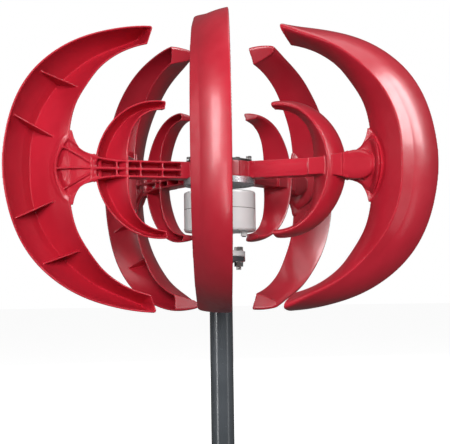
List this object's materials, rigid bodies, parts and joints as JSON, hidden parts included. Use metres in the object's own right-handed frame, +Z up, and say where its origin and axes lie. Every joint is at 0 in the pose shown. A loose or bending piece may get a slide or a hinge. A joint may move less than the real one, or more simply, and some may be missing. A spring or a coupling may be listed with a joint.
{
  "type": "vertical axis turbine",
  "caption": "Small vertical-axis wind turbine: crescent blades on a hub turn freely over a sealed direct-drive generator, bolted by a flange to a round mast tube.",
  "frame": {"origin": "centre of the mast tube's lower end", "axes": "+Z up along the spin axis; +X to the right and +Y away from the view that faces the blade at -Y"},
  "size_m": [0.8578, 0.8282, 0.9524],
  "materials": {
    "blade_plastic": "glossy moulded red",
    "mast_paint": "dark grey satin coat",
    "housing_paint": "white gloss coat",
    "turned_aluminium": "fine turned face",
    "dark_steel": "black coat",
    "zinc_steel": "bright zinc plate",
    "ground_steel": "ground",
    "bearing_steel": "polished",
    "seal_rubber": "matte black",
    "lamination": "stacked sheet",
    "copper": "enamelled copper wire",
    "magnet": "nickel plate",
    "gland_plastic": "white moulded"
  },
  "bodies": {
    "mast": {"bearing_lower_outer_ring": "bearing_steel", "bearing_upper_outer_ring": "bearing_steel", "cable_gland_body": "gland_plastic", "cable_gland_cap": "gland_plastic", "cable_gland_seal": "seal_rubber", "flange_bolts": "zinc_steel", "flange_nuts": "zinc_steel", "flange_washers": "zinc_steel", "generator_base_flange": "housing_paint", "generator_lower_housing": "housing_paint", "generator_neck_weld": "housing_paint", "generator_upper_housing": "housing_paint", "housing_gasket": "seal_rubber", "housing_screws": "zinc_steel", "mast_flange": "mast_paint", "mast_flange_weld": "mast_paint", "mast_tube": "mast_paint", "shaft_seal": "seal_rubber", "stator_core": "lamination", "stator_windings": "copper"},
    "rotor": {"blade_1": "blade_plastic", "blade_2": "blade_plastic", "blade_3": "blade_plastic", "blade_4": "blade_plastic", "blade_5": "blade_plastic", "hub_disc": "turned_aluminium", "clamp_plate": "dark_steel", "hub_bolts": "zinc_steel", "hub_washers": "zinc_steel", "hub_lock_washers": "zinc_steel", "shaft": "ground_steel", "shaft_key": "ground_steel", "shaft_washer": "zinc_steel", "shaft_nut": "zinc_steel", "rotor_core": "lamination", "rotor_magnets": "magnet", "bearing_lower_inner_ring": "bearing_steel", "bearing_upper_inner_ring": "bearing_steel", "bearing_lower_balls": "bearing_steel", "bearing_upper_balls": "bearing_steel"}
  },
  "joints": [
    {"name": "rotor_spin", "type": "hinge", "parent": "mast", "child": "rotor", "pos_m": [0, 0, 0.66], "axis": [0, 0, 1], "continuous": true}
  ]
}
